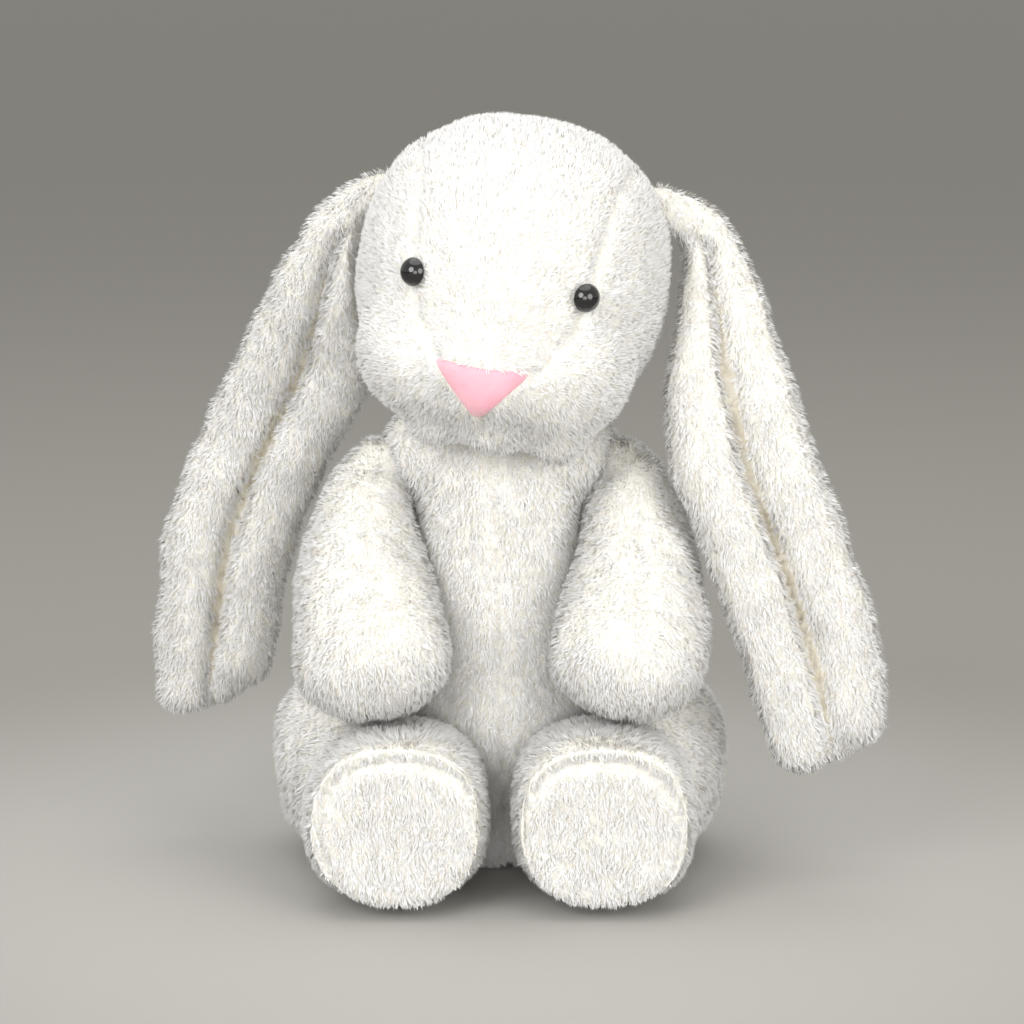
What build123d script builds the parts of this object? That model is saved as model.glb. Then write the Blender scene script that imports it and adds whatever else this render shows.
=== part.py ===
from build123d import *
import os

# A stuffed lop-eared bunny, sitting on a flat surface and looking along -Y.
# Millimetres. +Z is up and +X is the bunny's own left. The origin is on the
# resting surface, under the middle of the body.

# ---- driving dimensions -------------------------------------------------------

SKIN = 2.6  # plush cloth with its backing
FILL_GAP = 0.2  # between the head's cloth and its stuffing
CLEAR = 0.7  # between pieces that move past each other
LEFT_RIGHT = {"left": 1, "right": -1}

HEAD_CENTRE = (6, -22, 295)
HEAD_LEAN = 8  # towards the bunny's left shoulder
HEAD_TURN = -6  # towards the bunny's right
HEAD_TOP = 80
HEAD_BOTTOM = -79
HEAD_RADIUS = 78  # at the height of the eyes
HEAD_BACK_SEAM = 14
MUZZLE_CENTRE = (0, -38, -36)
MUZZLE_RADIUS = 40
# half width of the face gusset at heights above the head's centre
GUSSET_OUTLINE = [(23, -36), (40, 4), (45, 45), (52, 100)]

EYE_SPREAD = 41
EYE_HEIGHT = 4.5
EYE_RADIUS = 6.8
EYE_DOME = 5
EYE_GAP = 0.2  # between the dome's flat back and the cloth
SHANK_RADIUS = 2
SHANK_LENGTH = 9
WASHER_RADIUS = 7
WASHER_THICKNESS = 1.6
WASHER_DEPTH = 5

NOSE_HALF_WIDTH = 22
NOSE_TOP = -34
NOSE_TIP = -56
NOSE_CORNER = 3
NOSE_THICKNESS = 1

NECK = (0, -10, 222)
NECK_RADIUS = 18
# the hollow above the body in which the head tilts and nods
HEAD_ROOM_CENTRE = (-6, -34, 358)
HEAD_ROOM_RADIUS = 147

BODY_Y = 5  # the body's upright axis is this far behind the origin
BODY_RADIUS = 54
BODY_BASE = 20
CHEST_RADIUS = 46
CHEST_HEIGHT = 196
BODY_TOP = 242
RUMP_CENTRE = (0, 32, 42)
RUMP_RADIUS = 45
BODY_BAG_CENTRE = (0, 12, 36)
BODY_BAG_RADIUS = 30
TAIL_CENTRE = (0, 88, 42)
TAIL_RADIUS = 21

SHOULDER = (67, -10, 206)
SHOULDER_RADIUS = 28
SHOULDER_WIDTH = 34
SHOULDER_EDGE = 9
# the arm's middle line from shoulder to paw, with its radius
ARM_LINE = [((67, -11, 208), 17), ((66, -33, 160), 28), ((58, -64, 119), 33)]
# the hollow in the body's side in which an arm swings
ARM_ROOM_CENTRE = (157, -93, 163)
ARM_ROOM_RADIUS = 139.5

HIP_HEIGHT = 50
HIP_OFFSET = 55
THIGH_REACH = 109
THIGH_RADIUS = 49.5
THIGH_SEAM_EDGE = 8
THIGH_EDGE = 34
FOOT_CENTRE = 48
FOOT_WIDTH = 88
FOOT_HEIGHT = 84
FOOT_FRONT = -112
FOOT_CORNER = 30
FOOT_EDGE = 13
HEEL_RADIUS = 66  # the foot's inner half keeps this far from the hip axis
HEEL_OVERLAP = 3  # and the hollow reaches this far past the thigh's flat face
SOLE_DEPTH = 7
FOOT_BAG_CENTRE = (48, -84, 32)
FOOT_BAG_RADIUS = 19

# the middle lines of an ear's two rolled rims, from root to tip, with their radii
OUTER_RIM = {
    "left": [
        ((95, -12, 336), 9),
        ((119, -32, 272), 16),
        ((147, -56, 212), 17),
        ((173, -56, 140), 17),
        ((174, -56, 84), 17),
    ],
    "right": [
        ((72, 12, 338), 10),
        ((98, 18, 294), 14),
        ((125, 30, 246), 13.5),
        ((154, 38, 160), 13.5),
        ((165, 38, 82), 14),
    ],
}
INNER_RIM = {
    "left": [
        ((95, -12, 336), 9),
        ((103, -34, 268), 14),
        ((101, -56, 222), 16),
        ((127, -56, 124), 17),
        ((151, -56, 71), 17),
    ],
    "right": [
        ((72, 12, 338), 10),
        ((85, 18, 290), 14),
        ((84, 32, 240), 13.5),
        ((122, 38, 150), 13),
        ((135, 38, 82), 14),
    ],
}
EAR_WEB = 5  # the back of an ear, between its rims
LINING = 2.5

HEAD = Plane(Location(HEAD_CENTRE, (0, HEAD_LEAN, HEAD_TURN)))
HEAD_FRONT = Plane(HEAD.origin, x_dir=HEAD.x_dir, z_dir=-HEAD.y_dir)
FAR = 150  # beyond any piece


# ---- shared forms -------------------------------------------------------------


def mirrored(point, side):
    """A point of the left side, taken to the named side."""
    x, y, z = point
    return Vector(x * LEFT_RIGHT[side], y, z)


def ball(centre, radius):
    """A solid sphere."""
    with BuildPart() as sphere:
        with Locations(centre):
            Sphere(radius)
    return sphere.part


def club(start, end, start_radius, end_radius):
    """A tapered round bar between two points, with a ball at each end."""
    start = Vector(*start)
    along = Vector(*end) - start
    sideways = along.cross(Vector(0.1, 1, 0.2)).normalized()
    lengthwise = Plane(start, x_dir=along, z_dir=along.cross(sideways))
    with BuildPart() as bar:
        with BuildSketch(lengthwise):
            Circle(start_radius)
            with Locations((along.length, 0)):
                Circle(end_radius)
            make_hull()
            split(bisect_by=Plane.ZX)
        revolve(axis=Axis(start, along))
    return bar.part


def limb(line, side, grow=0):
    """A chain of clubs along a middle line."""
    with BuildPart() as chain:
        for (start, start_radius), (end, end_radius) in zip(line, line[1:]):
            add(
                club(
                    mirrored(start, side),
                    mirrored(end, side),
                    start_radius + grow,
                    end_radius + grow,
                )
            )
    return chain.part


def joined(*forms):
    """Several forms as one."""
    with BuildPart() as whole:
        for form in forms:
            add(form)
    return whole.part


def cut(form, *tools):
    """A form with other solids taken out of it."""
    with BuildPart() as rest:
        add(form)
        for tool in tools:
            add(tool, mode=Mode.SUBTRACT)
    return rest.part


def common(form, tool):
    """The volume that two solids share."""
    with BuildPart() as shared:
        add(form)
        add(tool, mode=Mode.INTERSECT)
    return shared.part


def side_of(form, plane, keep):
    """What a plane leaves of a form on one of its sides."""
    with BuildPart() as half:
        add(form)
        split(bisect_by=plane, keep=keep)
    return half.part


def save(piece, name):
    """Labels a piece and writes it to its own file."""
    piece.label = name
    export_step(piece, f"parts/{name}.step")


def save_pair(piece, limb_name, name):
    """Saves a piece of a left limb, and its mirror image for the right one."""
    save(piece, f"{limb_name}_left_{name}")
    save(mirror(piece, about=Plane.YZ), f"{limb_name}_right_{name}")


# ---- outer forms, each of which can be grown or shrunk --------------------------


def head_form(grow=0):
    """An egg, widest at the eyes, with a round muzzle low on its front."""
    top = HEAD_TOP + grow
    bottom = HEAD_BOTTOM - grow
    radius = HEAD_RADIUS + grow
    with BuildPart() as form:
        with BuildSketch(HEAD_FRONT):
            with BuildLine():
                ThreePointArc((0, top), (0.6 * radius, 0.86 * top), (0.95 * radius, 0.37 * top))
                ThreePointArc((0.95 * radius, 0.37 * top), (radius, 0), (0.9 * radius, 0.4 * bottom))
                ThreePointArc((0.9 * radius, 0.4 * bottom), (0.56 * radius, 0.81 * bottom), (0, bottom))
                Line((0, bottom), (0, top))
            make_face()
        revolve(axis=Axis(HEAD.origin, HEAD.z_dir))
        with Locations(HEAD.from_local_coords(MUZZLE_CENTRE)):
            Sphere(MUZZLE_RADIUS + grow)
    return form.part


def body_form(grow=0):
    """A pear with a flat base, and a rump behind that it sits back on."""
    base = (BODY_BASE + grow, 0)
    waist = (BODY_RADIUS + grow, HIP_HEIGHT)
    chest = (CHEST_RADIUS + grow, CHEST_HEIGHT)
    top = (0, BODY_TOP + grow)
    low_bulge = (0.78 * waist[0], 0.33 * HIP_HEIGHT)
    side_bulge = (0.965 * waist[0], 0.5 * (HIP_HEIGHT + CHEST_HEIGHT))
    shoulder_bulge = (0.74 * chest[0], CHEST_HEIGHT + 0.69 * (top[1] - CHEST_HEIGHT))
    with BuildPart() as form:
        with BuildSketch(Plane.XZ.offset(-BODY_Y)):
            with BuildLine():
                Line((0, 0), base)
                ThreePointArc(base, low_bulge, waist)
                ThreePointArc(waist, side_bulge, chest)
                ThreePointArc(chest, shoulder_bulge, top)
                Line(top, (0, 0))
            make_face()
        revolve(axis=Axis((0, BODY_Y, 0), (0, 0, 1)))
        add(ball(RUMP_CENTRE, RUMP_RADIUS + grow))
        split(bisect_by=Plane.XY.offset(-grow), keep=Keep.TOP)
        add(ball(NECK, NECK_RADIUS + CLEAR - grow), mode=Mode.SUBTRACT)
        add(ball(HEAD_ROOM_CENTRE, HEAD_ROOM_RADIUS - grow), mode=Mode.SUBTRACT)
        for side in LEFT_RIGHT:
            arm_room = ball(mirrored(ARM_ROOM_CENTRE, side), ARM_ROOM_RADIUS - grow)
            add(arm_room, mode=Mode.SUBTRACT)
    return form.part


def arm_form(grow=0):
    """The left arm: fat and bent, on a flat round shoulder that turns against the body."""
    with BuildPart() as arm:
        with BuildSketch(Plane(SHOULDER, x_dir=(0, 1, 0), z_dir=(1, 0, 0))):
            Circle(SHOULDER_RADIUS + grow)
        extrude(amount=SHOULDER_WIDTH / 2 + grow, both=True)
        fillet(arm.edges(), SHOULDER_EDGE + grow)
        add(limb(ARM_LINE, "left", grow))
    return arm.part


def leg_form(grow=0):
    """The left leg: a round thigh flat against the body, and a fat foot in front."""
    inner = HIP_OFFSET - grow
    with BuildPart() as foot:
        with BuildSketch(Plane.XZ.offset(-BODY_Y)):
            with Locations((FOOT_CENTRE, FOOT_HEIGHT / 2)):
                RectangleRounded(
                    FOOT_WIDTH + 2 * grow, FOOT_HEIGHT + 2 * grow, FOOT_CORNER + grow
                )
        extrude(amount=BODY_Y - FOOT_FRONT + grow)
        fillet(foot.edges().group_by(Axis.Y)[0], FOOT_EDGE + grow)
        with BuildSketch(Plane.YZ):
            with Locations((BODY_Y, HIP_HEIGHT)):
                Circle(HEEL_RADIUS - grow)
        extrude(amount=inner + HEEL_OVERLAP, mode=Mode.SUBTRACT)
    with BuildPart() as leg:
        with BuildSketch(Plane((inner, BODY_Y, HIP_HEIGHT), z_dir=(1, 0, 0))):
            Circle(THIGH_RADIUS + grow)
        extrude(amount=THIGH_REACH - HIP_OFFSET + 2 * grow)
        fillet(leg.edges().group_by(Axis.X)[0], THIGH_SEAM_EDGE + grow)
        fillet(leg.edges().group_by(Axis.X)[-1], THIGH_EDGE + grow)
        add(foot.part)
    return leg.part


# ---- pieces ---------------------------------------------------------------------


def make_eye(side):
    """A domed safety eye, its shank alone, and the washer that holds it behind the cloth."""
    spread = LEFT_RIGHT[side] * EYE_SPREAD
    depth = (HEAD_RADIUS**2 - EYE_SPREAD**2) ** 0.5
    outward = HEAD.x_dir * spread - HEAD.y_dir * depth
    surface = HEAD.from_local_coords((spread, -depth, EYE_HEIGHT))
    socket = Plane(surface, z_dir=outward).offset(EYE_GAP)
    ball_radius = (EYE_RADIUS**2 + EYE_DOME**2) / (2 * EYE_DOME)
    with BuildPart() as dome:
        with BuildSketch(socket):
            Circle(2 * EYE_RADIUS)
        extrude(amount=2 * EYE_DOME)
        with Locations(socket.offset(EYE_DOME - ball_radius).origin):
            Sphere(ball_radius, mode=Mode.INTERSECT)
    with BuildPart() as shank:
        with BuildSketch(socket):
            Circle(SHANK_RADIUS)
        extrude(amount=-SHANK_LENGTH)
    with BuildPart() as washer:
        with BuildSketch(socket.offset(-WASHER_DEPTH)):
            Circle(WASHER_RADIUS)
            Circle(SHANK_RADIUS, mode=Mode.SUBTRACT)
        extrude(amount=-WASHER_THICKNESS)
    return joined(dome.part, shank.part), shank.part, washer.part


def make_head():
    """The head's four cloth panels, its stuffing, eyes and nose."""
    eyes = {side: make_eye(side) for side in LEFT_RIGHT}
    shanks = [shank for _, shank, _ in eyes.values()]
    washers = [washer for _, _, washer in eyes.values()]
    outside = head_form()
    inside = head_form(-SKIN)
    neck_room = ball(NECK, NECK_RADIUS + CLEAR)
    skin = cut(outside, inside, neck_room, *shanks)
    filling = head_form(-SKIN - FILL_GAP)
    save(cut(filling, neck_room, *shanks, *washers), "head_stuffing")

    back_seam = HEAD_FRONT.offset(-HEAD_BACK_SEAM)
    with BuildPart() as gusset_room:
        with BuildSketch(back_seam):
            half = [Vector(width, height) for width, height in GUSSET_OUTLINE]
            other = [Vector(-width, height) for width, height in reversed(GUSSET_OUTLINE)]
            Polygon(*half, *other, align=None)
        extrude(amount=FAR)
    front = side_of(skin, back_seam, Keep.TOP)
    cheeks = cut(front, gusset_room.part)
    middle = Plane(HEAD.origin, z_dir=HEAD.x_dir)
    save(side_of(skin, back_seam, Keep.BOTTOM), "head_back")
    save(common(front, gusset_room.part), "head_face_gusset")
    save(side_of(cheeks, middle, Keep.TOP), "head_cheek_left")
    save(side_of(cheeks, middle, Keep.BOTTOM), "head_cheek_right")
    for side, (eye, _, washer) in eyes.items():
        save(eye, f"eye_{side}")
        save(washer, f"eye_washer_{side}")

    with BuildPart() as nose:
        with BuildSketch(HEAD_FRONT) as triangle:
            corners = [(NOSE_HALF_WIDTH, NOSE_TOP), (-NOSE_HALF_WIDTH, NOSE_TOP), (0, NOSE_TIP)]
            Polygon(*corners, align=None)
            fillet(triangle.vertices(), NOSE_CORNER)
        extrude(amount=FAR)
        add(head_form(NOSE_THICKNESS), mode=Mode.INTERSECT)
        add(outside, mode=Mode.SUBTRACT)
    save(nose.part, "nose_patch")


def make_body():
    """The body's four panels, its stuffing and pellets, the tail and the neck ball."""
    outside = body_form()
    inside = body_form(-SKIN)
    skin = cut(outside, inside)
    bag = ball(BODY_BAG_CENTRE, BODY_BAG_RADIUS)
    for end, keep in (("front", Keep.TOP), ("back", Keep.BOTTOM)):
        half = side_of(skin, Plane.XZ.offset(-BODY_Y), keep)
        save(side_of(half, Plane.YZ, Keep.TOP), f"body_{end}_left")
        save(side_of(half, Plane.YZ, Keep.BOTTOM), f"body_{end}_right")
    save(cut(inside, bag), "body_stuffing")
    save(bag, "body_pellet_bag")
    save(ball(NECK, NECK_RADIUS), "neck_ball")

    tail = cut(ball(TAIL_CENTRE, TAIL_RADIUS), ball(RUMP_CENTRE, RUMP_RADIUS))
    core = cut(ball(TAIL_CENTRE, TAIL_RADIUS - SKIN), ball(RUMP_CENTRE, RUMP_RADIUS))
    save(cut(tail, core), "tail_cover")
    save(core, "tail_stuffing")


def make_arms():
    """Each arm's outer and inner panels and its stuffing."""
    inside = arm_form(-SKIN)
    skin = cut(arm_form(), inside)
    seam = Plane(SHOULDER, z_dir=(1, 0, 0))
    save_pair(side_of(skin, seam, Keep.TOP), "arm", "outer")
    save_pair(side_of(skin, seam, Keep.BOTTOM), "arm", "inner")
    save_pair(inside, "arm", "stuffing")


def make_legs():
    """Each leg's outer and inner panels, sole, stuffing and pellet bag."""
    inside = leg_form(-SKIN)
    skin = cut(leg_form(), inside)
    sole_seam = Plane.XZ.offset(-FOOT_FRONT - SOLE_DEPTH)
    upper = side_of(skin, sole_seam, Keep.BOTTOM)
    seam = Plane(FOOT_BAG_CENTRE, z_dir=(1, 0, 0))
    bag = ball(FOOT_BAG_CENTRE, FOOT_BAG_RADIUS)
    save_pair(side_of(skin, sole_seam, Keep.TOP), "leg", "sole")
    save_pair(side_of(upper, seam, Keep.TOP), "leg", "outer")
    save_pair(side_of(upper, seam, Keep.BOTTOM), "leg", "inner")
    save_pair(cut(inside, bag), "leg", "stuffing")
    save_pair(bag, "leg", "pellet_bag")


def make_ear(side):
    """A hanging ear: two rolled rims and the web behind them, and its lining."""
    rims = joined(limb(OUTER_RIM[side], side), limb(INNER_RIM[side], side))
    outer_line = [mirrored(point, side) for point, _ in OUTER_RIM[side][2:]]
    inner_line = [mirrored(point, side) for point, _ in INNER_RIM[side][2:]]
    middle = Plane.XZ.offset(-outer_line[1].Y)
    with BuildPart() as sheets:
        with BuildSketch(middle):
            corners = [*outer_line, *reversed(inner_line)]
            Polygon(*[(point.X, point.Z) for point in corners], align=None)
        extrude(amount=-EAR_WEB)
    with BuildPart() as lining:
        add(Pos(0, -LINING, 0) * sheets.part)
        add(sheets.part, mode=Mode.SUBTRACT)
        add(rims, mode=Mode.SUBTRACT)
    save(joined(rims, sheets.part), f"ear_{side}_outer")
    save(lining.part, f"ear_{side}_lining")


os.makedirs("parts", exist_ok=True)
make_head()
make_body()
make_arms()
make_legs()
for side in LEFT_RIGHT:
    make_ear(side)
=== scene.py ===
import math

import bmesh
import bpy
import numpy as np
from mathutils import Euler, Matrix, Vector
from mathutils.bvhtree import BVHTree


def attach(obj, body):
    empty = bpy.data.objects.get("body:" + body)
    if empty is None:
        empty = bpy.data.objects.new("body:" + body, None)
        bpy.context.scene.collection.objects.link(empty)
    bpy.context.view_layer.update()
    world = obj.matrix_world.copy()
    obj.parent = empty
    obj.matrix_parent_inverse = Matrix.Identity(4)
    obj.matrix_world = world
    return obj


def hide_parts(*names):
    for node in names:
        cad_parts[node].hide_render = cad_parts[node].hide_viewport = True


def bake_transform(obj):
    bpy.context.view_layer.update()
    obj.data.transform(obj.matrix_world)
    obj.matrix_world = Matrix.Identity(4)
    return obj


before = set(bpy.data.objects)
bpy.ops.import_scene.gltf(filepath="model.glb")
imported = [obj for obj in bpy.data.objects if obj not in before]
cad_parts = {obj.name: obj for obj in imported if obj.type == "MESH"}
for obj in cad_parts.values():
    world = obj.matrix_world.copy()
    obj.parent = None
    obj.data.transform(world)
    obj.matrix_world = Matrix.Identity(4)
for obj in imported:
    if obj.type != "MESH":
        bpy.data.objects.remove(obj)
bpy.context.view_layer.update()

# A seated plush rabbit. Lengths below are in millimetres in the frame of the CAD model:
# +Z up, the rabbit faces -Y, and its own left side is +X.
MM = 0.001
SIDES = {"left": 1, "right": -1}
VOXEL = 4.5 * MM

HEAD_CENTRE = np.array((6, -22, 295))
HEAD_LEAN = Euler((0, math.radians(8), 0)).to_matrix()
HEAD_TURN = np.array(HEAD_LEAN @ Euler((0, 0, math.radians(-6))).to_matrix())
EYES = {side: sign * 41 for side, sign in SIDES.items()}
EYE_HEIGHT = 4.5
NOSE = [(-27, -33), (22, -33), (-2, -62)]  # corners, across and up from the head's centre

rng = np.random.default_rng(11)


# ---- small tools ----------------------------------------------------------------


def unit(v):
    return v / np.maximum(np.linalg.norm(v, axis=-1, keepdims=True), 1e-9)


def smoothstep(low, high, x):
    t = np.clip((x - low) / (high - low), 0, 1)
    return t * t * (3 - 2 * t)


def spline(rows, steps=6):
    """Catmull-Rom through rows of numbers, such as points with their radii."""
    rows = np.asarray(rows, float)
    padded = np.vstack([2 * rows[0] - rows[1], rows, 2 * rows[-1] - rows[-2]])
    t = np.linspace(0, 1, steps, endpoint=False)[:, None]
    found = []
    for a, b, c, d in zip(padded, padded[1:], padded[2:], padded[3:]):
        found.append(b + 0.5 * t * (c - a + t * (2 * a - 5 * b + 4 * c - d + t * (3 * (b - c) + d - a))))
    return np.vstack([*found, rows[-1:]])


def head_point(points):
    """Points given from the head's centre, in the head's own tilted axes, as points of the frame."""
    return np.asarray(points, float) @ HEAD_TURN.T + HEAD_CENTRE


def in_head(points):
    return (points - HEAD_CENTRE) @ HEAD_TURN


def tube(rows, facing=(0, -1, 0), corner=2.0, sides=28, caps=None):
    """Vertices and faces of a closed soft tube. A row is x, y, z, half width, half depth.

    facing is the way its depth is measured, corner is 2 for an ellipse and more for a squarer section,
    and caps is how far its rounded ends reach past the first and last rows.
    """
    rows = spline(rows)
    centre, half = rows[:, :3], rows[:, 3:]
    along = unit(np.gradient(centre, axis=0))
    across = unit(np.cross(along, facing))
    out = np.cross(across, along)
    angle = np.linspace(0, 2 * np.pi, sides, endpoint=False)
    c, s = np.cos(angle), np.sin(angle)
    x, y = np.sign(c) * abs(c) ** (2 / corner), np.sign(s) * abs(s) ** (2 / corner)
    rings = []

    def ring(i, scale, shift):
        middle = centre[i] + along[i] * shift
        sideways = scale * half[i, 0] * x[:, None] * across[i]
        return middle + sideways + scale * half[i, 1] * y[:, None] * out[i]

    rounding = np.radians((80, 60, 40, 20))
    start, end = caps or (half[0].min(), half[-1].min())
    rings += [ring(0, math.cos(a), -start * math.sin(a)) for a in rounding]
    rings += [ring(i, 1, 0) for i in range(len(rows))]
    rings += [ring(-1, math.cos(a), end * math.sin(a)) for a in rounding[::-1]]
    verts = np.vstack([*rings, centre[:1] - along[0] * start, centre[-1:] + along[-1] * end])
    faces = []
    for r in range(len(rings) - 1):
        for k in range(sides):
            a, b = r * sides + k, r * sides + (k + 1) % sides
            faces.append((a, b, b + sides, a + sides))
    last = (len(rings) - 1) * sides
    for k in range(sides):
        faces.append(((k + 1) % sides, k, len(verts) - 2))
        faces.append((last + k, last + (k + 1) % sides, len(verts) - 1))
    return verts, faces


def egg(centre, radii):
    """A closed ellipsoid as a tube about its upright axis."""
    x, y, z = centre
    heights = np.array((-0.9, -0.6, -0.2, 0.2, 0.6, 0.9))
    rows = []
    for h in heights:
        width = math.sqrt(1 - h * h)
        rows.append((x, y, z + h * radii[2], radii[0] * width, radii[1] * width))
    return tube(rows)


def new_object(name, verts, faces):
    mesh = bpy.data.meshes.new(name)
    mesh.from_pydata([tuple(v) for v in verts], [], faces)
    mesh.update()
    obj = bpy.data.objects.new(name, mesh)
    bpy.context.scene.collection.objects.link(obj)
    return obj


def get_points(obj):
    co = np.empty(len(obj.data.vertices) * 3)
    obj.data.vertices.foreach_get("co", co)
    return co.reshape(-1, 3)


def get_normals(obj):
    no = np.empty(len(obj.data.vertices) * 3)
    obj.data.vertex_normals.foreach_get("vector", no)
    return no.reshape(-1, 3)


def set_points(obj, points):
    obj.data.vertices.foreach_set("co", points.ravel())
    obj.data.update()


def apply_modifiers(obj):
    depsgraph = bpy.context.evaluated_depsgraph_get()
    mesh = bpy.data.meshes.new_from_object(obj.evaluated_get(depsgraph))
    obj.modifiers.clear()
    obj.data = mesh
    obj.data.polygons.foreach_set("use_smooth", np.ones(len(mesh.polygons), bool))


def inflate(obj, cap):
    """The stuffing pushes the cloth out: a pressure simulation in which no point moves further than cap."""
    scene = bpy.context.scene
    rest = get_points(obj)
    cloth = obj.modifiers.new("Cloth", "CLOTH")
    cloth.settings.use_pressure = True
    cloth.settings.uniform_pressure_force = 4
    cloth.settings.effector_weights.gravity = 0
    cloth.point_cache.frame_start = 1
    cloth.point_cache.frame_end = 20
    for number in range(1, 21):
        scene.frame_set(number)
    apply_modifiers(obj)
    moved = get_points(obj) - rest
    far = np.linalg.norm(moved, axis=1, keepdims=True)
    set_points(obj, rest + moved * np.minimum(1, cap / np.maximum(far, 1e-9)))
    scene.frame_set(1)


def soft_form(name, solids, smoothing=8, cap=3 * MM, inset=2):
    """Overlapping closed solids, in mm, as one stuffed form."""
    verts, faces = [], []
    for v, f in solids:
        faces += [tuple(i + len(verts) for i in face) for face in f]
        verts += list(v * MM)
    obj = new_object(name, verts, faces)
    remesh = obj.modifiers.new("Remesh", "REMESH")
    remesh.mode = "VOXEL"
    remesh.voxel_size = VOXEL
    smooth = obj.modifiers.new("Smooth", "SMOOTH")
    smooth.factor = 0.5
    smooth.iterations = smoothing
    apply_modifiers(obj)
    set_points(obj, get_points(obj) - get_normals(obj) * inset * MM)
    inflate(obj, cap)
    obj.modifiers.new("Subdivision", "SUBSURF").levels = 1
    apply_modifiers(obj)
    return obj


def line_distance(points, line):
    """How far each point is from a line of points, in the same unit."""
    best = np.full(len(points), np.inf)
    for a, b in zip(line, line[1:]):
        ab = b - a
        t = np.clip((points - a) @ ab / (ab @ ab), 0, 1)
        best = np.minimum(best, np.linalg.norm(points - a - t[:, None] * ab, axis=1))
    return best


def sew(obj, distance, depth, width):
    """Pulls the cloth in along a seam, given each point's distance from it in mm, with small puckers."""
    points, normals = get_points(obj), get_normals(obj)
    mm = points / MM
    pucker = 1 + 0.3 * np.sin(mm.sum(1) * 0.75) * np.sin((mm[:, 0] - mm[:, 2]) * 0.41)
    pull = depth * MM * pucker * np.exp(-((distance / width) ** 2))
    set_points(obj, points - normals * pull[:, None])


def wrinkle(obj, depth, size):
    """Gentle unevenness of loose filling under cloth."""
    points, normals = get_points(obj), get_normals(obj)
    mm = points / MM / size
    a, b, c = mm[:, 0], mm[:, 1], mm[:, 2]
    wave = np.sin(a + 1.7 * np.sin(b)) * np.sin(1.3 * b + 1.1 * np.sin(c))
    wave = wave + np.sin(1.1 * c + 1.3 * np.sin(a)) * 0.6
    set_points(obj, points + normals * (depth * MM * wave)[:, None])


# ---- materials ------------------------------------------------------------------


def principled(name, colour, roughness, **sockets):
    material = bpy.data.materials.new(name)
    material.use_nodes = True
    shader = material.node_tree.nodes["Principled BSDF"]
    shader.inputs["Base Color"].default_value = (*colour, 1)
    shader.inputs["Roughness"].default_value = roughness
    for socket, value in sockets.items():
        shader.inputs[socket.replace("_", " ")].default_value = value
    return material, material.node_tree, shader


def noise(tree, scale, detail=3.0):
    node = tree.nodes.new("ShaderNodeTexNoise")
    node.inputs["Scale"].default_value = scale
    node.inputs["Detail"].default_value = detail
    coordinate = tree.nodes.new("ShaderNodeTexCoord")
    tree.links.new(coordinate.outputs["Object"], node.inputs["Vector"])
    return node


def cloth_material(name, dark, light, mottle, grain, bump, roughness=0.9, **sockets):
    """Cloth whose colour wanders between two tones, with a pile or weave of the given grain."""
    material, tree, shader = principled(name, light, roughness, **sockets)
    ramp = tree.nodes.new("ShaderNodeValToRGB")
    ramp.color_ramp.elements[0].position = 0.3
    ramp.color_ramp.elements[0].color = (*dark, 1)
    ramp.color_ramp.elements[1].position = 0.65
    ramp.color_ramp.elements[1].color = (*light, 1)
    tree.links.new(noise(tree, mottle, 6).outputs["Fac"], ramp.inputs["Fac"])
    tree.links.new(ramp.outputs["Color"], shader.inputs["Base Color"])
    relief = tree.nodes.new("ShaderNodeBump")
    relief.inputs["Strength"].default_value = bump
    relief.inputs["Distance"].default_value = 0.8 * MM
    tree.links.new(noise(tree, grain, 4).outputs["Fac"], relief.inputs["Height"])
    tree.links.new(relief.outputs["Normal"], shader.inputs["Normal"])
    return material


# Plush backing under the pile: its own cream tone with random mottle, tinted towards tan as painted shade
# so the gaps between blades and the deep folds look shaded.
PLUSH_BACKING_WITH_PAINTED_SHADE = cloth_material(
    "plush_backing_with_painted_shade", (0.80, 0.765, 0.68), (0.90, 0.88, 0.83), 160, 900, 0.8,
    Sheen_Weight=0.3, Sheen_Roughness=0.6,
)
# Ear lining in the fold: a real smooth lining cloth with random mottle, coloured tan as painted shade of
# the deep fold.
LINING_WITH_PAINTED_FOLD_SHADE = cloth_material(
    "ear_lining", (0.60, 0.54, 0.42), (0.78, 0.74, 0.64), 120, 1400, 0.5, Sheen_Weight=0.3,
)
FILLING = cloth_material("filling", (0.80, 0.80, 0.78), (0.90, 0.90, 0.90), 90, 500, 0.6)
NOSE_CLOTH = cloth_material(
    "nose_satin", (0.83, 0.38, 0.47), (0.90, 0.47, 0.55), 90, 1800, 0.35, roughness=0.6, Sheen_Weight=0.4
)
FUR = [
    principled("fur_bright", (0.95, 0.95, 0.955), 0.75, Sheen_Weight=0.25)[0],
    principled("fur_white", (0.90, 0.90, 0.905), 0.8, Sheen_Weight=0.25)[0],
    principled("fur_cream", (0.86, 0.85, 0.82), 0.8, Sheen_Weight=0.25)[0],
]


def eye_material():
    material, tree, shader = principled("eye_black", (0.006, 0.006, 0.007), 0.06, Coat_Weight=0.6, IOR=1.5)
    ramp = tree.nodes.new("ShaderNodeMapRange")
    ramp.inputs["To Min"].default_value = 0.04
    ramp.inputs["To Max"].default_value = 0.12
    tree.links.new(noise(tree, 260).outputs["Fac"], ramp.inputs["Value"])
    tree.links.new(ramp.outputs["Result"], shader.inputs["Roughness"])
    return material


def washer_material():
    material, tree, shader = principled("washer_plastic", (0.8, 0.8, 0.78), 0.5)
    relief = tree.nodes.new("ShaderNodeBump")
    relief.inputs["Strength"].default_value = 0.15
    tree.links.new(noise(tree, 700).outputs["Fac"], relief.inputs["Height"])
    tree.links.new(relief.outputs["Normal"], shader.inputs["Normal"])
    return material


# ---- fur ------------------------------------------------------------------------


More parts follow.
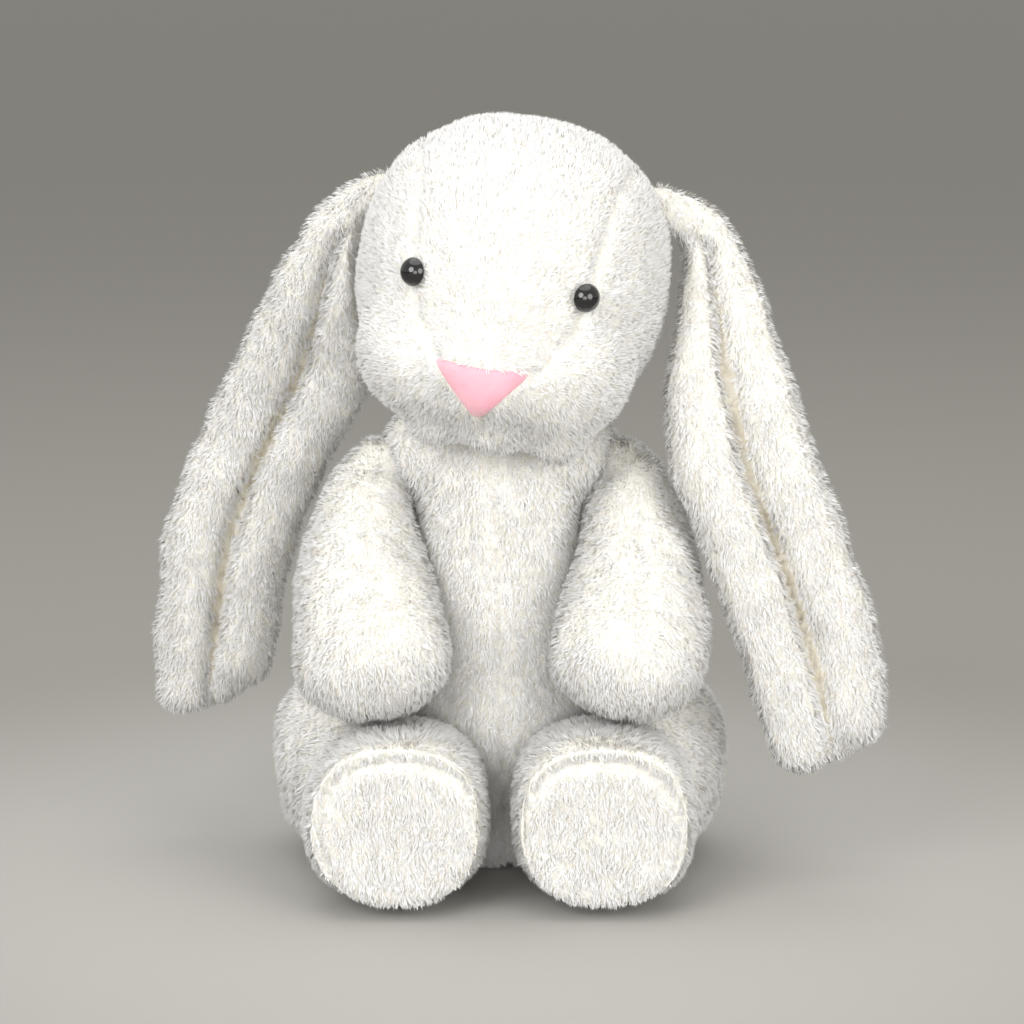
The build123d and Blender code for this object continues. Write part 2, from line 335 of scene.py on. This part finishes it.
def sample(obj, per_mm2):
    """Random points over a surface, in mm, with their normals."""
    mesh = obj.data
    mesh.calc_loop_triangles()
    tris = np.empty(len(mesh.loop_triangles) * 3, np.int32)
    mesh.loop_triangles.foreach_get("vertices", tris)
    tris = tris.reshape(-1, 3)
    points, normals = get_points(obj) / MM, get_normals(obj)
    a, b, c = (points[tris[:, k]] for k in range(3))
    area = np.linalg.norm(np.cross(b - a, c - a), axis=1) / 2
    count = int(area.sum() * per_mm2)
    chosen = np.searchsorted(np.cumsum(area), rng.random(count) * area.sum())
    u, v = rng.random(count), rng.random(count)
    u, v = np.where(u + v > 1, 1 - u, u), np.where(u + v > 1, 1 - v, v)
    w = np.stack([1 - u - v, u, v], axis=1)[:, :, None]
    return (points[tris[chosen]] * w).sum(1), unit((normals[tris[chosen]] * w).sum(1))


def cell_noise(cells):
    """Three repeatable numbers from -1 to 1 for each whole-number cell."""
    key = cells @ np.array((127.1, 311.7, 74.7))
    return np.stack([np.sin(key + k) * 43758.5453 % 1 for k in (0.0, 1.3, 2.9)], axis=1) * 2 - 1


def fur(name, obj, comb, length=4.5, per_mm2=0.95, width=0.27, upright=0.5, keep=None, seam=None):
    """Short plush pile over a form: small leaf-shaped blades whose tips gather in tufts.

    seam gives each point's distance from the nearest seam, where the pile is caught short.
    """
    root, normal = sample(obj, per_mm2)
    if keep is not None:
        chosen = keep(root)
        root, normal = root[chosen], normal[chosen]
    caught = 1 if seam is None else 0.35 + 0.65 * smoothstep(0.3, 4.5, seam(root))[:, None]
    count = len(root)
    flow = comb(root)
    flow = unit(flow - (flow * normal).sum(1, keepdims=True) * normal)
    tuft_size = 3.2
    cells = np.floor(root / tuft_size)
    swirl = cell_noise(cells)
    centre = (cells + 0.5 + 0.3 * swirl) * tuft_size
    scatter = rng.normal(size=(count, 3))
    long = caught * length * (0.75 + 0.3 * rng.random((count, 1)) + 0.12 * swirl[:, :1])
    lean = unit(flow + 0.5 * swirl + 0.25 * scatter)
    lean = lean - (lean * normal).sum(1, keepdims=True) * normal
    heading = unit(upright * normal + (1 - upright) * lean)
    gather = centre - root
    gather = gather - (gather * normal).sum(1, keepdims=True) * normal
    tip = root + long * heading + 0.35 * gather + 0.1 * long * lean
    middle = root + 0.5 * long * unit(1.25 * upright * normal + (1 - upright) * lean) + 0.15 * gather
    across = unit(np.cross(tip - root, normal) + 0.5 * scatter[:, ::-1])
    outward = (np.cross(across, tip - root) * normal).sum(1, keepdims=True)
    across = across * np.where(outward > 0, -1, 1) * width * (0.7 + 0.6 * rng.random((count, 1)))
    verts = np.stack([root - 0.6 * normal, middle - across, middle + across, tip], axis=1).reshape(-1, 3)
    verts[:, 2] = np.maximum(verts[:, 2], 0.2)
    first = np.arange(count)[:, None] * 4
    faces = np.hstack([first, first + 1, first + 2, first + 1, first + 3, first + 2]).reshape(-1, 3)

    mesh = bpy.data.meshes.new(name)
    mesh.vertices.add(len(verts))
    mesh.vertices.foreach_set("co", (verts * MM).ravel())
    mesh.loops.add(faces.size)
    mesh.loops.foreach_set("vertex_index", faces.ravel().astype(np.int32))
    mesh.polygons.add(len(faces))
    mesh.polygons.foreach_set("loop_start", np.arange(0, faces.size, 3, dtype=np.int32))
    tone = np.clip((swirl[:, 1] * 0.5 + 0.5 + rng.normal(0, 0.25, count)) * 3, 0, 2.99).astype(np.int32)
    mesh.polygons.foreach_set("material_index", np.repeat(2 - tone, 2))
    mesh.polygons.foreach_set("use_smooth", np.ones(len(faces), bool))
    for material in FUR:
        mesh.materials.append(material)
    mesh.update()
    shade = unit(np.repeat(normal + 0.1 * scatter + 0.15 * lean, 4, axis=0))
    mesh.normals_split_custom_set_from_vertices(shade.astype(np.float32))
    found = bpy.data.objects.new(name, mesh)
    bpy.context.scene.collection.objects.link(found)
    return found


# ---- panels ---------------------------------------------------------------------


def panels(obj, panel_of, names, material=PLUSH_BACKING_WITH_PAINTED_SHADE):
    """Cuts a finished form into its sewn panels.

    panel_of gives each face centre, in mm, its index in names.
    """
    mesh = obj.data
    centres = np.empty(len(mesh.polygons) * 3)
    mesh.polygons.foreach_get("center", centres)
    index = panel_of(centres.reshape(-1, 3) / MM)
    found = {}
    for number, name in enumerate(names):
        bm = bmesh.new()
        bm.from_mesh(mesh)
        bm.faces.ensure_lookup_table()
        drop = [bm.faces[i] for i in np.flatnonzero(index != number)]
        bmesh.ops.delete(bm, geom=drop, context="FACES")
        part = bpy.data.meshes.new(name)
        bm.to_mesh(part)
        bm.free()
        part.materials.append(material)
        piece = bpy.data.objects.new(name, part)
        bpy.context.scene.collection.objects.link(piece)
        found[name] = piece
    bpy.data.objects.remove(obj)
    return found


def settle(pieces, body, inner=()):
    """Each panel stands for the CAD node of its name, the first also for what fills the form."""
    for number, (name, piece) in enumerate(pieces.items()):
        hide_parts(name.removesuffix("_cloth"), *(inner if number == 0 else ()))
        if body:
            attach(piece, body)


# ---- head -----------------------------------------------------------------------


def head():
    profile = [(-70, 30), (-57, 50), (-37, 67), (-13, 75.5), (13, 76), (39, 70), (60, 57), (72, 38)]
    rows = [(*head_point([(0, 0, z)])[0], r, r) for z, r in profile]
    lumps = [tube(rows, caps=(8, 8))]
    for centre, radii in (
        ((0, -40, -34), (43, 37, 35)),
        ((30, -32, -34), (38, 38, 36)),
        ((-30, -32, -34), (38, 38, 36)),
    ):
        lumps.append(egg(head_point([centre])[0], radii))
    skin = soft_form("head_form", lumps, smoothing=12)
    local = in_head(get_points(skin) / MM)
    sew(skin, head_seam(get_points(skin) / MM), 2.0, 3.0)
    local = in_head(get_points(skin) / MM)
    for x in EYES.values():
        socket = np.hypot(local[:, 0] - x, local[:, 2] - EYE_HEIGHT)
        sew(skin, np.where(local[:, 1] < 0, socket, 99), -1.4, 8)
    wrinkle(skin, 0.5, 9)
    return skin


def head_seam(points):
    """Distance from the seams beside the face, under the nose and round behind the ears."""
    local = in_head(points)
    flat = np.where(local[:, 1:2] < 0, local[:, ::2], 999.0)
    near = np.minimum(abs(local[:, 1] - 14) * 1.4, line_distance(flat, np.array([(0.0, -60), (1.0, -68)])))
    for sign in SIDES.values():
        line = np.array([(52, 64), (46, 45), (41, 4.5), (36, -14), (23, -34)]) * (sign, 1)
        near = np.minimum(near, line_distance(flat, line))
    return near


def head_panel(points):
    local = in_head(points)
    gusset = np.interp(local[:, 2], (-36, 4, 45, 100), (23, 40, 45, 52))
    index = np.where(local[:, 0] > 0, 1, 2)
    index = np.where((abs(local[:, 0]) < gusset) & (local[:, 2] > -36), 0, index)
    return np.where(local[:, 1] > 14, 3, index)


def nose_weight(local):
    """How far inside the nose's outline each point is, in mm: negative outside it, and -99 on the back half
    of the head.
    """
    corners = np.array(NOSE, float)
    flat = local[:, ::2]
    inside = np.full(len(local), np.inf)
    for a, b in zip(corners, np.roll(corners, -1, axis=0)):
        edge = b - a
        across = np.array((edge[1], -edge[0])) / np.linalg.norm(edge)
        inside = np.minimum(inside, (flat - a) @ across)
    return np.where(local[:, 1] < 0, inside, -99)


def make_nose(skin):
    """A rounded satin triangle sewn on the muzzle."""
    surface = BVHTree.FromObject(skin, bpy.context.evaluated_depsgraph_get())
    corners = np.array(NOSE, float)
    middle = corners.mean(0)
    outline = []
    for k in range(3):
        before, here, after = corners[k - 1], corners[k], corners[(k + 1) % 3]
        start = here + unit(before - here) * 6
        end = here + unit(after - here) * 6
        for t in np.linspace(0, 1, 7):
            outline.append((1 - t) ** 2 * start + 2 * t * (1 - t) * here + t * t * end)
        for t in np.linspace(0, 1, 10)[1:-1]:
            sag = 1.2 if k == 0 else 0
            nxt = after + unit(here - after) * 6
            outline.append(end * (1 - t) + nxt * t + np.array((0, -sag * math.sin(math.pi * t))))
    outline = np.array(outline)
    rings = [0.0, 0.2, 0.4, 0.6, 0.78, 0.9, 0.97, 1.0]
    lift = [1.9, 1.9, 1.8, 1.7, 1.5, 1.1, 0.5, -0.6]
    verts, faces = [], []
    toward = Vector(HEAD_TURN @ np.array((0, 1, 0)))
    for scale, height in zip(rings, lift):
        for x, z in (middle + (outline - middle) * scale if scale else middle[None]):
            start = Vector(head_point([(x, -150, z)])[0] * MM)
            hit, normal, _, _ = surface.ray_cast(start, toward)
            verts.append(np.array(hit + normal * height * MM))
    n = len(outline)
    faces += [(0, 1 + (k + 1) % n, 1 + k) for k in range(n)]
    for r in range(len(rings) - 2):
        for k in range(n):
            a, b = 1 + r * n + k, 1 + r * n + (k + 1) % n
            faces.append((a, b, b + n, a + n))
    nose = new_object("nose_satin_patch", verts, faces)
    nose.data.polygons.foreach_set("use_smooth", np.ones(len(nose.data.polygons), bool))
    nose.modifiers.new("Subdivision", "SUBSURF").levels = 1
    apply_modifiers(nose)
    nose.data.materials.append(NOSE_CLOTH)
    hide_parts("nose_patch")
    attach(nose, "head")


def head_comb(points):
    """The pile runs back from the nose over the face, and down the back of the head."""
    local = in_head(points)
    away = local - np.array((0, -80, -30))
    down = np.zeros_like(local) - np.array((0, 0, 1.0))
    share = smoothstep(-10, 50, local[:, 1])[:, None]
    return (unit(away) * (1 - share) + down * share) @ HEAD_TURN.T


def bare_face(points):
    """No pile on the nose or over the eyes."""
    local = in_head(points)
    keep = nose_weight(local) < 0.6
    for x in EYES.values():
        eye = np.hypot(local[:, 0] - x, local[:, 2] - EYE_HEIGHT)
        keep &= (eye > 5.8) | (local[:, 1] > 0)
    return keep


def make_head():
    skin = head()
    make_nose(skin)
    pile = fur("head_fur", skin, head_comb, length=4.2, keep=bare_face, seam=head_seam)
    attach(pile, "head")
    names = ["head_face_gusset", "head_cheek_left", "head_cheek_right", "head_back"]
    cloths = panels(skin, head_panel, [f"{n}_cloth" for n in names])
    settle(cloths, "head", inner=["head_stuffing"])
    for side in SIDES:
        for node, material in ((f"eye_{side}", EYE), (f"eye_washer_{side}", WASHER)):
            for material_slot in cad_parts[node].material_slots:
                material_slot.material = material


# ---- body, neck and tail ----------------------------------------------------------


def downward(points):
    return np.zeros_like(points) + np.array((0, 0.1, -1.0))


def make_body():
    rows = [
        (0, 5, 22, 42, 38),
        (0, 5, 50, 53, 50),
        (0, 5, 90, 54.5, 52),
        (0, 5, 130, 53, 50),
        (0, 4, 170, 50, 46),
        (0, 2, 204, 47, 41),
        (0, 0, 226, 36, 32),
    ]
    seat = tube([(0, 8, 16, 38, 36), (0, 8, 30, 44, 42)], corner=2.6)
    solids = [tube(rows), seat, egg((0, 34, 44), (44, 42, 42))]
    for sign in SIDES.values():
        solids.append(egg((sign * 42, -2, 208), (20, 24, 25)))
    skin = soft_form("body_form", solids, smoothing=10)
    points = get_points(skin)
    points[:, 2] = np.maximum(points[:, 2], 1.5 * MM)
    set_points(skin, points)

    def seam(points):
        middle = abs(points[:, 0] - np.interp(points[:, 2], (0, 120, 230), (4, 0, -4)))
        return np.minimum(middle, np.where(abs(points[:, 0]) > 20, abs(points[:, 1] - 5), 99))

    sew(skin, seam(get_points(skin) / MM), 2.2, 3.0)
    wrinkle(skin, 0.6, 10)
    pile = fur("body_fur", skin, downward, seam=seam)
    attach(pile, "torso")

    def panel_of(points):
        return np.where(points[:, 1] > 5, 2, 0) + np.where(points[:, 0] > 0, 0, 1)

    names = ["body_front_left", "body_front_right", "body_back_left", "body_back_right"]
    cloths = panels(skin, panel_of, [f"{n}_cloth" for n in names])
    settle(cloths, "torso", inner=["body_stuffing", "body_pellet_bag"])


def make_tail():
    skin = soft_form("tail_cover_cloth", [egg((0, 88, 42), (22, 20, 21))], smoothing=4)
    wrinkle(skin, 0.8, 6)
    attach(fur("tail_fur", skin, lambda p: p - np.array((0, 70, 48.0)), length=8, per_mm2=0.9), "torso")
    skin.data.materials.append(PLUSH_BACKING_WITH_PAINTED_SHADE)
    settle({"tail_cover_cloth": skin}, "torso", inner=["tail_stuffing"])


def make_neck():
    rows = [(0, -10, 212, 17, 17), (0, -10, 222, 19, 18), (0, -10, 232, 17, 17)]
    neck = soft_form("neck_filling", [tube(rows)], smoothing=3, cap=1 * MM)
    wrinkle(neck, 0.7, 3)
    neck.data.materials.append(FILLING)
    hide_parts("neck_ball")
    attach(neck, "neck")


# ---- arms -----------------------------------------------------------------------

ARM = [
    (60, -8, 203, 15, 20),
    (64, -11, 194, 21, 26),
    (67, -20, 178, 26, 30),
    (67, -35, 156, 32, 32),
    (65, -50, 136, 37, 33),
    (61, -68, 119, 39, 32),
]


def on_side(rows, sign):
    return [(row[0] * sign, *row[1:]) for row in rows]


def make_arm(side):
    sign = SIDES[side]
    rows = on_side(ARM, sign)
    skin = soft_form(f"arm_{side}_form", [tube(rows)], smoothing=6)
    line = np.array([row[:3] for row in rows], float)

    def seam(points):
        return abs(points[:, 0] - np.interp(points[:, 2], line[::-1, 2], line[::-1, 0]))

    sew(skin, seam(get_points(skin) / MM), 1.1, 3.0)
    wrinkle(skin, 0.9, 9)

    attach(fur(f"arm_{side}_fur", skin, downward), f"arm_{side}")

    def panel_of(points):
        middle = np.interp(points[:, 2], line[::-1, 2], line[::-1, 0])
        return np.where((points[:, 0] - middle) * sign > 0, 0, 1)

    cloths = panels(skin, panel_of, [f"arm_{side}_outer_cloth", f"arm_{side}_inner_cloth"])
    settle(cloths, f"arm_{side}", inner=[f"arm_{side}_stuffing"])


# ---- legs -----------------------------------------------------------------------


def make_leg(side):
    sign = SIDES[side]
    foot = [(48, -20, 43, 38, 38), (49, -50, 44, 42, 41), (49, -80, 45, 44.5, 43), (49, -98, 45, 44, 43)]
    sole = [(49, -90, 45, 43, 42), (49, -107, 44, 38, 37)]
    solids = [tube(on_side(foot, sign), facing=(0, 0, 1), corner=2.5, sides=36)]
    solids.append(tube(on_side(sole, sign), facing=(0, 0, 1), corner=2.4, sides=36))
    thigh = [(62, 5, 48, 46, 46), (76, 5, 49, 49, 48), (92, 4, 49, 47, 46), (106, 3, 48, 34, 34)]
    solids.append(tube(on_side(thigh, sign), facing=(0, 0, 1), sides=36, caps=(3, 8)))
    solids.append(egg((sign * 78, -24, 45), (26, 44, 42)))
    skin = soft_form(f"leg_{side}_form", solids, smoothing=14)
    points = get_points(skin)
    points[:, 2] = np.maximum(points[:, 2], 1.2 * MM)
    points[:, 1] = np.maximum(points[:, 1], -109 * MM)
    near = smoothstep(-30, -60, points[:, 1] / MM)
    inner = np.where(near < 0.5, 56.5, 5.0) * MM
    points[:, 0] = sign * np.maximum(points[:, 0] * sign, inner)
    set_points(skin, points)

    def sole_rim(points):
        across, up = (points[:, 0] * sign - 48) / 36.5, (points[:, 2] - 42) / 36.0
        return (abs(across) ** 2.4 + abs(up) ** 2.4) ** (1 / 2.4)

    def seam(points):
        return np.where(points[:, 1] < -88, abs(sole_rim(points) - 1) * 36, 99)

    sew(skin, seam(get_points(skin) / MM), 2.2, 3.2)
    wrinkle(skin, 0.6, 11)
    points = get_points(skin)
    points[:, 2] = np.maximum(points[:, 2], 1.0 * MM)
    set_points(skin, points)

    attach(fur(f"leg_{side}_fur", skin, downward, seam=seam), f"leg_{side}")

    def panel_of(points):
        index = np.where(points[:, 0] * sign > 48, 0, 1)
        return np.where((sole_rim(points) < 1) & (points[:, 1] < -90), 2, index)

    names = [f"leg_{side}_{n}_cloth" for n in ("outer", "inner", "sole")]
    hidden = [f"leg_{side}_stuffing", f"leg_{side}_pellet_bag"]
    settle(panels(skin, panel_of, names), f"leg_{side}", inner=hidden)


# ---- ears -----------------------------------------------------------------------

# two rolled rims an ear, from root to tip, as x, y, z, half width, half depth
EARS = {
    "left": (
        [
            (76, -16, 336, 9, 8),
            (98, -15, 321, 13, 10),
            (112, -24, 290, 17, 12),
            (123, -38, 255, 19, 13),
            (137, -50, 212, 19, 14),
            (154, -54, 165, 20, 14),
            (167, -54, 122, 20, 14),
            (171, -54, 82, 19, 13),
        ],
        [
            (74, -18, 332, 8, 8),
            (96, -18, 315, 11, 10),
            (97, -28, 286, 14, 12),
            (95, -42, 252, 18, 13),
            (99, -53, 212, 20, 14),
            (117, -56, 165, 20, 14),
            (133, -56, 122, 21, 14),
            (150, -55, 72, 20, 13),
        ],
    ),
    "right": (
        [
            (56, 8, 342, 9, 8),
            (76, 12, 330, 12, 10),
            (91, 15, 305, 16, 11),
            (106, 20, 275, 18, 12),
            (121, 28, 243, 19, 12),
            (142, 35, 195, 20, 12),
            (157, 37, 150, 20, 12),
            (163, 37, 76, 19, 12),
        ],
        [
            (54, 6, 338, 8, 8),
            (70, 10, 324, 10, 9),
            (79, 13, 298, 14, 11),
            (79, 18, 268, 18, 12),
            (83, 26, 238, 20, 12),
            (107, 34, 195, 20, 12),
            (123, 36, 150, 20, 12),
            (136, 37, 88, 20, 12),
        ],
    ),
}


def make_ear(side):
    sign = SIDES[side]
    outer, inner = (np.array(on_side(rows, sign), float) for rows in EARS[side])
    web = (outer + inner) / 2
    web[:, 1] += 4
    web[:, 3] = abs(outer[:, 0] - inner[:, 0]) / 2 + 3
    web[:, 4] = np.interp(web[:, 2], (80, 110), (12.5, 7))
    web[-1, 2] -= 4
    solids = [tube(outer), tube(inner), tube(web[1:])]
    skin = soft_form(f"ear_{side}_form", solids, smoothing=6, cap=2 * MM)
    fold = spline((outer[:, :3] + inner[:, :3]) / 2)
    mm = get_points(skin) / MM
    order = np.argsort(fold[:, 2])
    fold_x = np.interp(mm[:, 2], fold[order, 2], fold[order, 0])
    fold_y = np.interp(mm[:, 2], fold[order, 2], fold[order, 1])
    in_front = (mm[:, 1] < fold_y + 2) & (mm[:, 2] < 318)
    depth = np.interp(mm[:, 2], (70, 110), (2, 8))
    sew(skin, np.where(in_front, abs(mm[:, 0] - fold_x), 99), depth, 4.0)
    wrinkle(skin, 0.8, 8)

    # The strip of lining along the ear's fold, left without pile; it carries the tan painted shade of the
    # fold.
    def lining_and_painted_shade_band(points):
        x = np.interp(points[:, 2], fold[order, 2], fold[order, 0])
        y = np.interp(points[:, 2], fold[order, 2], fold[order, 1])
        wide = np.interp(points[:, 2], (75, 110, 260, 300), (0.5, 3.5, 3.5, 0.5))
        return (abs(points[:, 0] - x) < wide) & (points[:, 1] < y)

    along = unit(fold[-1] - fold[8])

    def comb(points):
        return np.repeat(along[None], len(points), axis=0)

    pile = fur(f"ear_{side}_fur", skin, comb, keep=lambda p: ~lining_and_painted_shade_band(p))
    names = [f"ear_{side}_outer_cloth", f"ear_{side}_lining_cloth"]
    cloths = panels(skin, lambda p: np.where(lining_and_painted_shade_band(p), 1, 0), names)
    # The lining piece takes the tan lining colour, painted shade of the fold.
    lining = cloths[f"ear_{side}_lining_cloth"]
    lining.data.materials.clear()
    lining.data.materials.append(LINING_WITH_PAINTED_FOLD_SHADE)
    settle(cloths, None)
    for piece in (pile, *cloths.values()):
        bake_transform(piece)


# ---- studio ---------------------------------------------------------------------


def make_stage():
    """A plain pale floor with a painted pool of light round the toy: its colour darkens further from the
    toy as painted shade.
    """
    reach = 60  # metres
    corners = [(-reach, -reach, 0), (reach, -reach, 0), (reach, reach, 0), (-reach, reach, 0)]
    floor = new_object("studio_floor", corners, [(0, 1, 2, 3)])
    material, tree, shader = principled("studio_floor", (0.5, 0.49, 0.47), 0.85)
    position = tree.nodes.new("ShaderNodeTexCoord")
    distance = tree.nodes.new("ShaderNodeVectorMath")
    distance.operation = "LENGTH"
    # Painted light: pale near the toy, falling to painted shade further away.
    ramp = tree.nodes.new("ShaderNodeValToRGB")
    ramp.color_ramp.interpolation = "EASE"
    ramp.color_ramp.elements[0].color = (0.42, 0.41, 0.39, 1)
    ramp.color_ramp.elements[0].position = 0.15
    ramp.color_ramp.elements[1].color = (0.30, 0.29, 0.27, 1)
    ramp.color_ramp.elements[1].position = 0.5
    tree.links.new(position.outputs["Object"], distance.inputs[0])
    tree.links.new(distance.outputs["Value"], ramp.inputs["Fac"])
    tree.links.new(ramp.outputs["Color"], shader.inputs["Base Color"])
    floor.data.materials.append(material)


def area_light(name, place, target, size, power, colour=(1, 1, 1)):
    data = bpy.data.lights.new(name, "AREA")
    data.shape = "DISK"
    data.size = size
    data.energy = power
    data.color = colour
    light = bpy.data.objects.new(name, data)
    light.location = place
    light.rotation_euler = (Vector(target) - Vector(place)).to_track_quat("-Z", "Y").to_euler()
    bpy.context.scene.collection.objects.link(light)


def make_light_and_camera():
    scene = bpy.context.scene
    world = bpy.data.worlds.new("studio")
    world.use_nodes = True
    world.node_tree.nodes["Background"].inputs["Color"].default_value = (0.46, 0.455, 0.43, 1)
    world.node_tree.nodes["Background"].inputs["Strength"].default_value = 1.35
    scene.world = world
    target = (0, 0, 0.18)
    area_light("key", (-0.9, -1.5, 0.95), target, 1.2, 20)
    area_light("fill", (1.1, -1.4, 0.6), target, 1.2, 14, (1, 0.99, 0.97))
    area_light("front", (0, -2.0, 0.25), target, 1.0, 9)
    area_light("top", (0, 0, 2.2), target, 2.5, 22)
    camera = bpy.data.cameras.new("camera")
    camera.lens = 105.6
    camera.sensor_width = 36
    camera.shift_x = 0.0117
    camera.shift_y = -0.0137
    obj = bpy.data.objects.new("camera", camera)
    obj.location = (0, -1.477, 0.445)
    obj.rotation_euler = (math.radians(80), 0, 0)
    scene.collection.objects.link(obj)
    scene.camera = obj
    scene.view_settings.view_transform = "Standard"


EYE = eye_material()
WASHER = washer_material()
make_head()
make_body()
make_tail()
make_neck()
for side in SIDES:
    make_arm(side)
    make_leg(side)
    make_ear(side)
make_stage()
make_light_and_camera()
